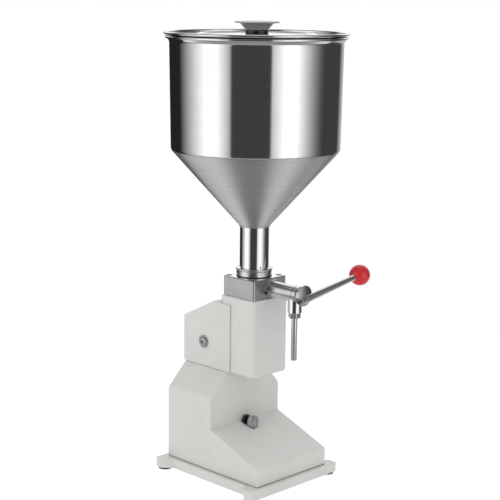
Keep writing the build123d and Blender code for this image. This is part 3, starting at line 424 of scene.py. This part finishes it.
node_finishes = {
    paint: ["lower_housing", "column_casting", "rear_cover", "base_plate"],
    mirror: ["hopper_lid", "hopper_neck", "hopper_shell", "outlet_nipple"],
    bar: ["discharge_tube", "lever_arm", "lever_hub", "nozzle_tube", "tube_washer", "piston_rod",
          "valve_spindle"],
    block: ["valve_block", "piston", "cylinder_liner", "rear_gland", "clevis"],
    turned: ["neck_collar", "neck_ring", "nozzle_nut", "tube_lock_nut"],
    zinc: ["housing_screws", "frame_screws", "block_screws", "pivot_bolt", "pivot_washers", "pivot_nut",
           "cover_screws", "pivot_spacers", "clevis_pin", "link_pin", "crank_pin", "clevis_clips", "link_rod",
           "rocker", "rocker_brackets", "crank_disc", "lever_screw", "adjusting_knob"],
    oxide: ["collar_set_screw", "crank_set_screw", "adjusting_screw", "adjusting_lock_nut"],
    bronze: ["link_guide_bush", "rocker_bush", "thread_insert"],
    rubber: ["rubber_pads", "stop_pad", "liner_seal", "neck_gasket"],
    # the sheet under the housing, kept dark to paint the shade of its seam as well
    gasket_shade_finish: ["base_gasket"],
    seal: ["block_gasket", "spindle_seals", "piston_seals"],
    red: ["ball_knob"],
    grey: ["lid_knob"],
    black: ["knob_base"],
}


def coat(piece, material):
    piece.data.materials.clear()
    piece.data.materials.append(material)


for material, nodes in node_finishes.items():
    for node in nodes:
        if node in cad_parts:
            coat(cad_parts[node], material)


# ---------------------------------------------------------------- modelling tools
def start_clean():
    if bpy.context.mode != "OBJECT":
        bpy.ops.object.mode_set(mode="OBJECT")
    bpy.ops.object.select_all(action="DESELECT")


def edit_active(name):
    piece = bpy.context.active_object
    piece.name = name
    piece.data.name = name
    bpy.ops.object.mode_set(mode="EDIT")
    return piece


def settle(piece, smooth=35.0):
    """Puts the object at the origin with its place in its mesh, and smooths its soft edges."""
    if bpy.context.mode != "OBJECT":
        bpy.ops.object.mode_set(mode="OBJECT")
    bpy.ops.object.select_all(action="DESELECT")
    piece.select_set(True)
    bpy.context.view_layer.objects.active = piece
    bpy.ops.object.transform_apply(location=True, rotation=True, scale=True)
    bpy.ops.object.shade_smooth_by_angle(angle=math.radians(smooth))
    return piece


def arc(centre, radius, start, end, steps):
    """Points round part of a circle in (radius, height), angles in degrees from outward."""
    points = []
    for i in range(steps + 1):
        angle = math.radians(start + (end - start) * i / steps)
        points.append((centre[0] + radius * math.cos(angle), centre[1] + radius * math.sin(angle)))
    return points


def bend(before, corner, after, radius, steps):
    """The corner of a path rounded to an arc."""
    before, corner, after = Vector(before), Vector(corner), Vector(after)
    back = (before - corner).normalized()
    ahead = (after - corner).normalized()
    half = back.angle(ahead) / 2
    centre = corner + (back + ahead).normalized() * (radius / math.sin(half))
    first = corner + back * (radius / math.tan(half)) - centre
    turn = first.angle_signed(corner + ahead * (radius / math.tan(half)) - centre)
    points = []
    for i in range(steps + 1):
        angle = -turn * i / steps
        points.append((centre.x + first.x * math.cos(angle) - first.y * math.sin(angle),
                       centre.y + first.x * math.sin(angle) + first.y * math.cos(angle)))
    return points


def spun(name, outline, foot, axis=up, side=Vector((1, 0, 0)), steps=160, smooth=35.0):
    """A closed outline of (radius, height) points spun round an axis through foot."""
    start_clean()
    spots = [foot + side * radius + axis * height for radius, height in outline]
    if min(outline[0][0], outline[-1][0]) > 1e-7:
        spots.append(spots[0])
    bpy.ops.mesh.primitive_plane_add(size=mm, location=spots[0])
    piece = edit_active(name)
    bpy.ops.mesh.merge(type="CENTER")
    for here, there in zip(spots, spots[1:]):
        bpy.ops.mesh.extrude_vertices_move(TRANSFORM_OT_translate={"value": there - here})
    bpy.ops.mesh.select_all(action="SELECT")
    bpy.ops.mesh.spin(steps=steps, angle=math.tau, center=foot, axis=axis)
    bpy.ops.mesh.select_all(action="SELECT")
    bpy.ops.mesh.remove_doubles(threshold=0.01 * mm)
    bpy.ops.mesh.normals_make_consistent(inside=False)
    return settle(piece, smooth)


def pick(piece, kind, wanted):
    """Selects the faces or points that a test accepts, and nothing else."""
    bpy.ops.mesh.select_mode(type=kind)
    bpy.ops.mesh.select_all(action="DESELECT")
    bpy.ops.object.mode_set(mode="OBJECT")
    for item in piece.data.polygons if kind == "FACE" else piece.data.vertices:
        item.select = wanted(item)
    bpy.ops.object.mode_set(mode="EDIT")


def fit(piece, body, slot, material, *stands_for):
    """Finishes a new piece: its material, the body it rides on and the nodes it stands for."""
    coat(piece, material)
    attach(piece, body)
    if stands_for:
        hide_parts(*stands_for)
    return piece


# ---------------------------------------------------------------- hopper
def hopper_bend():
    """The outer and inner arcs where the cone turns up into the barrel."""
    foot = (cone_foot_radius, cone_low)
    corner = (cone_top_radius, cone_top)
    top = (barrel_top_radius, rim_top)
    outer = bend(foot, corner, top, barrel_bend, 16)
    slope = math.atan2(corner[1] - foot[1], corner[0] - foot[0])
    rise = sheet * math.tan((math.pi / 2 - slope) / 2)
    inner_corner = (corner[0] - sheet, corner[1] + rise)
    inner_foot = (foot[0] - sheet / math.sin(slope), foot[1])
    inner_top = (top[0] - sheet, top[1])
    inner = bend(inner_foot, inner_corner, inner_top, barrel_bend - sheet, 16)
    return outer, inner, inner_foot


def hopper_barrel():
    outer, inner, _ = hopper_bend()
    rim_centre = (rim_outer - rim_wire, rim_top - rim_wire)
    flare_across = rim_centre[0] - barrel_top_radius - rim_flare
    flare_drop = math.sqrt((rim_wire + rim_flare) ** 2 - flare_across ** 2)
    flare_centre = (barrel_top_radius + rim_flare, rim_centre[1] - flare_drop)
    meet = math.degrees(math.atan2(flare_drop, flare_across))
    outline = outer[8:]
    outline += arc(flare_centre, rim_flare, 180, meet, 10)
    outline += arc(rim_centre, rim_wire, meet - 180, 190, 28)[1:]
    outline += arc(flare_centre, rim_flare + sheet, 128, 180, 8)
    outline += list(reversed(inner[8:]))
    piece = spun("hopper_barrel", outline, mast, steps=240)
    return fit(piece, "stand", "polished_steel", mirror, "hopper_shell")


def hopper_cone():
    outer, inner, inner_foot = hopper_bend()
    outline = [(cone_foot_radius, cone_low)] + outer[:9] + list(reversed(inner[:9])) + [inner_foot]
    piece = spun("hopper_cone", outline, mast, steps=240)
    return fit(piece, "stand", "polished_steel", satin, "hopper_shell")


def neck_tube():
    bore = neck_radius - 1.5 * mm
    edge = 0.3 * mm
    outline = [(neck_radius - edge, neck_low), (neck_radius, neck_low + edge), (neck_radius, cone_low),
               (bore, cone_low), (bore, neck_low)]
    piece = spun("neck_tube", outline, mast, steps=120)
    return fit(piece, "stand", "polished_steel", mirror, "hopper_neck")


def neck_weld():
    """The dressed weld between the neck and the cone."""
    root = neck_radius - 0.4 * mm
    outline = [(root, cone_low - 2.2 * mm), (neck_radius + 0.1 * mm, cone_low - 2.2 * mm)]
    outline += arc((neck_radius + 0.5 * mm, cone_low - 0.4 * mm), 1.2 * mm, -80, 40, 8)
    outline += [(cone_foot_radius + 1.0 * mm, cone_low + 1.6 * mm), (root + 0.6 * mm, cone_low + 1.0 * mm)]
    piece = spun("neck_weld", outline, mast, steps=120)
    return fit(piece, "stand", "polished_steel", satin)


hopper_barrel()
hopper_cone()
neck_tube()
neck_weld()


# ---------------------------------------------------------------- lid and its knob
def lid_outline():
    """The lid's upper face from the middle outwards, then its hem and its lower face."""
    crown = low("knob_base").z
    dish = lid_dish
    thin = lid_thickness
    hem = (lid_radius - lid_wire, lid_high - lid_wire + lid_lift)
    bead = (lid_bead_radius, dish + lid_bead_height)
    upper = [(0, crown), (30 * mm, crown), (lid_crown_radius, crown - 0.3 * mm),
             (lid_bead_radius - 2 * lid_bead_half, dish + 0.5 * mm)]
    upper += arc((bead[0], bead[1] - lid_bead_half), lid_bead_half, 150, 30, 10)
    upper += [(lid_bead_radius + 2 * lid_bead_half, dish), (lid_flat_radius, dish)]
    upper += bend((lid_flat_radius, dish), (hem[0] - lid_wire, dish), (hem[0] - lid_wire, hem[1]), 0.4 * mm, 4)
    upper += arc(hem, lid_wire, 180, -90, 24)
    under = [(hem[0] - thin, hem[1] - lid_wire + 0.3 * mm), (lid_flat_radius + 3 * mm, dish - thin + 0.6 * mm),
             (lid_flat_radius, dish - thin), (lid_bead_radius, dish - thin),
             (lid_crown_radius, crown - 0.3 * mm - thin),
             (0, crown - thin)]
    return upper + under


def hopper_lid():
    piece = spun("lid_sheet", lid_outline(), mast, steps=240, smooth=50.0)
    return fit(piece, "lid", "polished_steel", mirror, "hopper_lid")


def knob_on_lid():
    foot = knob_base_top
    waist = flange_top - knob_flange_thickness
    stem = knob_stem_radius
    outline = [(0, foot), (stem, foot)]
    outline += arc((stem, foot + 0.8 * mm), 0.8 * mm, -90, -20, 3)
    outline += bend((stem + 0.8 * mm, foot + mm), (27 * mm, waist - 0.8 * mm), (flange_radius, waist), 1.5 * mm, 6)
    outline += arc((flange_radius - 1.2 * mm, waist + 1.25 * mm), 1.2 * mm, -80, 90, 8)
    outline += [(flange_radius - 4 * mm, flange_top - 0.1 * mm), (flange_radius - 5 * mm, flange_top - 0.6 * mm),
                (flange_radius - 6 * mm, flange_top - 0.1 * mm), (12 * mm, flange_top), (0, flange_top)]
    piece = spun("lid_knob_body", outline, mast, steps=120)
    return fit(piece, "lid", "grey_plastic", grey, "lid_knob")


def knob_foot():
    base = low("knob_base").z
    radius = high("knob_base").x
    outline = [(0, base), (radius - 0.6 * mm, base)]
    outline += arc((radius - mm, base + mm), mm, -90, 0, 4)
    outline += arc((radius - mm, knob_base_top - 1.4 * mm), mm, 0, 90, 5)
    outline += [(radius - 3 * mm, knob_base_top), (0, knob_base_top)]
    piece = spun("lid_knob_foot", outline, mast, steps=120)
    return fit(piece, "lid", "black_plastic", black, "knob_base")


hopper_lid()
knob_on_lid()
knob_foot()


# ---------------------------------------------------------------- lever's ball
def lever_ball():
    along = Vector((math.cos(lever_angle), 0, math.sin(lever_angle)))
    across = Vector((-math.sin(lever_angle), 0, math.cos(lever_angle)))
    centre = lever_cross + along * ball_reach
    flat = math.degrees(math.acos(ball_flat / ball_radius))
    outline = [(0, -ball_flat), (ball_radius * math.sin(math.radians(flat)) - 0.5 * mm, -ball_flat)]
    outline += arc((0, 0), ball_radius, flat - 90 + 2, -2, 40)
    outline += [(ball_radius + ball_seam, -0.3 * mm), (ball_radius + ball_seam, 0.3 * mm)]
    outline += arc((0, 0), ball_radius, 2, 90, 42)
    piece = spun("lever_ball", outline, centre, along, across, steps=96)
    piece.visible_glossy = False
    return fit(piece, "lever", "red_ball", red, "ball_knob")


lever_ball()


# ---------------------------------------------------------------- adjusting screw and its knob
def adjusting_thread():
    """The screw with a ridge for each turn of its thread."""
    tail = high("adjusting_screw").y
    nose = low("adjusting_screw").y
    radius = (high("adjusting_screw").x - low("adjusting_screw").x) / 2
    foot = Vector((screw_middle.x, nose, screw_middle.z))
    length = tail - nose
    turns = int(length / thread_pitch) - 1
    outline = [(0, 0), (radius - thread_depth, 0), (radius - 0.1 * mm, 0.6 * mm)]
    for turn in range(turns):
        place = 0.6 * mm + turn * thread_pitch
        outline += [(radius, place + 0.3 * thread_pitch), (radius - thread_depth, place + 0.6 * thread_pitch),
                    (radius, place + 0.9 * thread_pitch)]
    outline += [(radius - 0.1 * mm, length - 0.8 * mm), (radius - thread_depth, length), (0, length)]
    piece = spun("adjusting_thread", outline, foot, -forward, steps=48)
    return fit(piece, "screw", "dark_steel", oxide, "adjusting_screw")


def fluted_knob():
    """A round knob whose rim is pressed into flutes, with a dished face."""
    start_clean()
    radius = (high("adjusting_knob").x - low("adjusting_knob").x) / 2
    depth = high("adjusting_knob").y - low("adjusting_knob").y
    rim_inset = 1.1 * mm
    rim_fall = 0.8 * mm
    dish_inset = 2.6 * mm
    dish_depth = 0.9 * mm
    boss_inset = 1.2 * mm
    boss_height = 0.5 * mm
    bpy.ops.mesh.primitive_cylinder_add(vertices=4 * flute_count, radius=radius, depth=depth, location=screw_middle,
                                        rotation=(math.pi / 2, 0, 0))
    piece = edit_active("fluted_knob")
    bpy.ops.object.mode_set(mode="OBJECT")
    bpy.ops.object.transform_apply(location=True, rotation=True, scale=True)
    bpy.ops.object.mode_set(mode="EDIT")
    pick(piece, "FACE", lambda face: abs(face.normal.y) > 0.9)
    bpy.ops.mesh.inset(thickness=rim_inset)
    pick(piece, "VERT", lambda point: flute_spot(point.co - screw_middle, radius))
    bpy.ops.transform.resize(value=(flute_share, 1, flute_share), center_override=screw_middle)
    pick(piece, "VERT", lambda point: rim_spot(point.co - screw_middle, radius, depth))
    bpy.ops.transform.resize(value=(1, 1 - 2 * rim_fall / depth, 1), center_override=screw_middle)
    pick(piece, "FACE", lambda face: face.normal.y < -0.9 and len(face.vertices) > 8)
    bpy.ops.mesh.inset(thickness=dish_inset)
    bpy.ops.mesh.extrude_region_move(TRANSFORM_OT_translate={"value": (0, dish_depth, 0)})
    bpy.ops.transform.resize(value=(0.92, 1, 0.92), center_override=screw_middle)
    bpy.ops.mesh.inset(thickness=boss_inset)
    bpy.ops.mesh.extrude_region_move(TRANSFORM_OT_translate={"value": (0, -boss_height, 0)})
    bpy.ops.mesh.select_all(action="SELECT")
    bpy.ops.mesh.normals_make_consistent(inside=False)
    settle(piece, 30.0)
    return fit(piece, "screw_knob", "dark_steel", zinc, "adjusting_knob")


def rim_spot(offset, radius, depth):
    """Whether a point lies on the outer edge of either face."""
    return math.hypot(offset.x, offset.z) > radius - 1.0 * mm and abs(offset.y) > depth / 2 - 0.01 * mm


def flute_spot(offset, radius):
    """Whether a rim point lies in a flute: two of each four points round the rim do."""
    if math.hypot(offset.x, offset.z) < radius - 0.01 * mm:
        return False
    step = round(math.atan2(offset.z, offset.x) / math.tau * 4 * flute_count)
    return step % 4 in (0, 1)


adjusting_thread()
fluted_knob()


# ---------------------------------------------------------------- camera, light and floor
view_turn = -45.16            # degrees round the machine from its front
view_tilt = 11.22             # degrees down from level
view_roll = 0.62
view_spot = (-1.5403, -1.5365, 0.8180)
view_lens = 95.71
floor_radius = 1.1


def studio_camera():
    data = bpy.data.cameras.new("studio_camera")
    camera = bpy.data.objects.new("studio_camera", data)
    bpy.context.scene.collection.objects.link(camera)
    data.sensor_width = 36.0
    data.lens = view_lens
    data.clip_start = 0.05
    data.clip_end = 50.0
    spot = Matrix.Translation(view_spot)
    turn = Matrix.Rotation(math.radians(view_turn), 4, "Z")
    tilt = Matrix.Rotation(math.radians(90 - view_tilt), 4, "X")
    roll = Matrix.Rotation(math.radians(view_roll), 4, "Z")
    camera.matrix_world = spot @ turn @ tilt @ roll
    bpy.context.scene.camera = camera


def studio_floor():
    """A white table top, which shiny parts see darker, most of all in front of the machine."""
    start_clean()
    bpy.ops.mesh.primitive_circle_add(vertices=128, radius=floor_radius, fill_type="NGON", location=(0, 0, -0.2 * mm))
    floor = bpy.context.active_object
    floor.name = "studio_floor"
    material = bpy.data.materials.new("studio_floor")
    material.use_nodes = True
    material.cycles.emission_sampling = "NONE"
    board = Board(material.node_tree)
    mirrored = board.node("ShaderNodeLightPath", output=3)
    _, depth, _ = board.axes(board.place(turn=(0, 0, math.radians(-view_turn))))
    behind = board.spread(depth, 0.05, 0.45)
    reflected = board.mix(behind, colour(0.04, 0.04, 0.04), colour(0.55, 0.55, 0.55))
    shader = board.node("ShaderNodeBsdfPrincipled", values={
        "Base Color": colour(0.28, 0.28, 0.28), "Roughness": 0.9, "Specular IOR Level": 0.0,
        "Emission Color": board.mix(mirrored, colour(0.85, 0.85, 0.85), reflected),
        "Emission Strength": 1.0})
    board.node("ShaderNodeOutputMaterial", values={"Surface": shader})
    floor.data.materials.append(material)


def rise_of(angle):
    """The upward part of a direction this many degrees above level."""
    return math.sin(math.radians(angle))


def studio_light():
    """Two tall soft boxes left and right of the camera, a white wall behind above a dark skirting, a dim
    ceiling that brightens towards the back, and even light for whatever is not shiny. A side is in degrees
    round from the camera, with the left negative, and a height is the sine of the angle above level."""
    world = bpy.data.worlds.new("studio")
    bpy.context.scene.world = world
    world.use_nodes = True
    world.cycles.sampling_method = "NONE"
    board = Board(world.node_tree)
    away = board.node("ShaderNodeTexCoord")
    turned_in = board.node("ShaderNodeMapping", {"vector_type": "VECTOR"}, {
        "Vector": away, "Rotation": (0, 0, math.radians(-view_turn))})
    across, depth, height = board.axes(turned_in)
    side = board.sums("ARCTAN2", across, -1 * depth) * (180 / math.pi)
    aside = board.sums("ABSOLUTE", side, 0.0)
    box_glow = 1.22
    wall_glow = 1.08
    dark_corner = 0.018
    left = board.spread(side, -122, -72) ** 1.25 * board.spread(side, -53, -34.5, 1.0, 0.36)
    left = left * board.spread(side, -35.5, -32, 1.0, 0.08)
    right = board.spread(side, 18.5, 21.5, 0.0, 0.50) + board.spread(side, 21.5, 38, 0.0, 0.50)
    right = right * board.spread(side, 56, 104, 1.0, 0.0) ** 2
    backdrop = board.spread(aside, 128, 152) * board.spread(height, rise_of(1), rise_of(4))
    walls = box_glow * (left + right) + 0.45 * board.spread(side, 141, 158) + dark_corner
    walls = walls * (1 - backdrop) + wall_glow * backdrop
    overhead = board.spread(height, rise_of(26), rise_of(33))
    glow = walls * (1 - overhead) + (0.14 + 0.80 * board.spread(aside, 140, 160)) * overhead
    even = 0.955 + 0.10 * height - 0.13 * across
    seen_directly = board.node("ShaderNodeLightPath")
    mirrored = Value(board, seen_directly.socket.node.outputs[3])
    around = glow * mirrored + even * (1 - mirrored)
    strength = seen_directly + around * (1 - seen_directly)
    background = board.node("ShaderNodeBackground", values={"Color": colour(1, 1, 1), "Strength": strength})
    board.node("ShaderNodeOutputWorld", values={"Surface": background})


studio_camera()
studio_floor()
studio_light()
